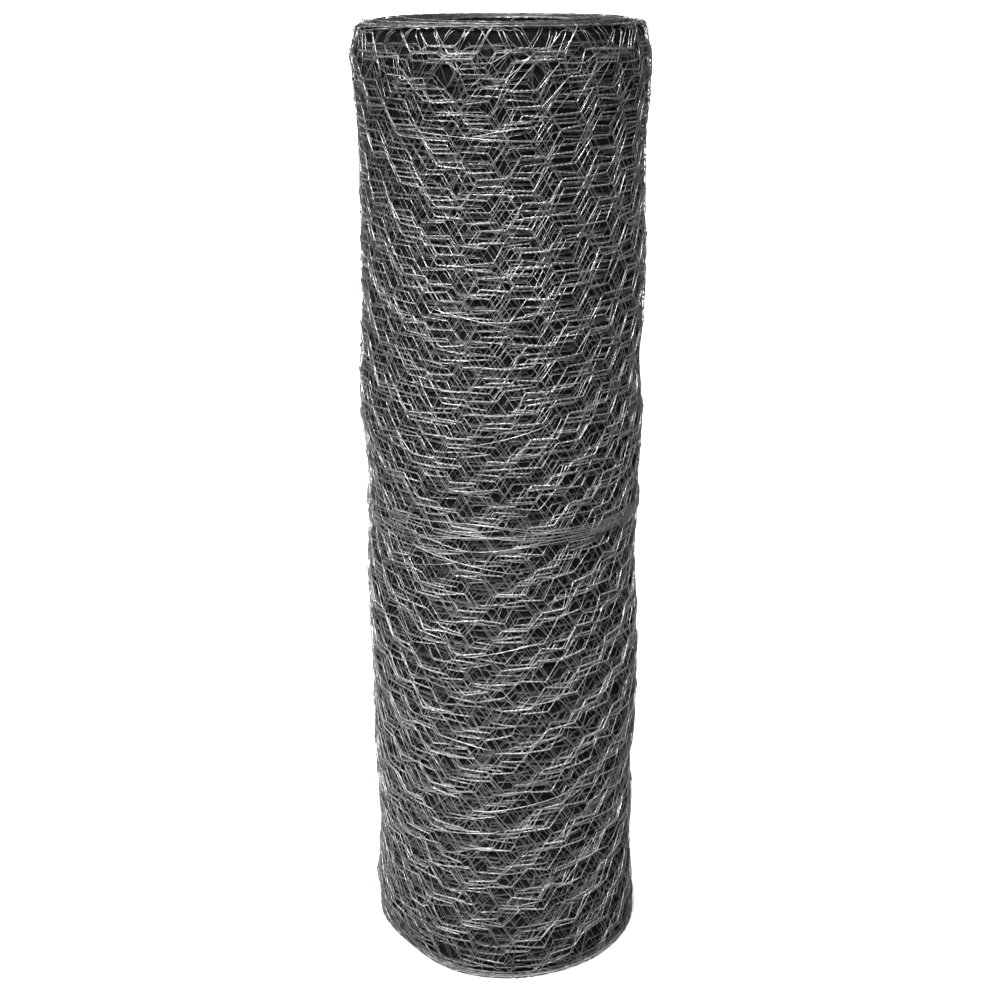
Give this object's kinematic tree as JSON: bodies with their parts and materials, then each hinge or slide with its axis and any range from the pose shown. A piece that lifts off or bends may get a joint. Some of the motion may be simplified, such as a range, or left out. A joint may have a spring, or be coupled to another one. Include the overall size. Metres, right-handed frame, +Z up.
{
  "type": "roll of chicken wire",
  "caption": "Standing roll of galvanised hexagonal wire netting with an open bore, its turns showing on both ends, held shut by a wire tie round the waist.",
  "frame": {"origin": "centre of the lower end of the roll, on the floor", "axes": "+Z up along the axis of the roll, -Y towards the viewer, the twisted end of the tie at +Y"},
  "size_m": [0.1815, 0.1816, 0.61],
  "materials": {
    "galvanised_netting": "hot-dip galvanised wire, grey with bright edges",
    "tie_wire": "soft galvanised tie wire"
  },
  "bodies": {
    "root": {"netting_roll": "galvanised_netting", "waist_tie": "tie_wire"}
  },
  "joints": []
}
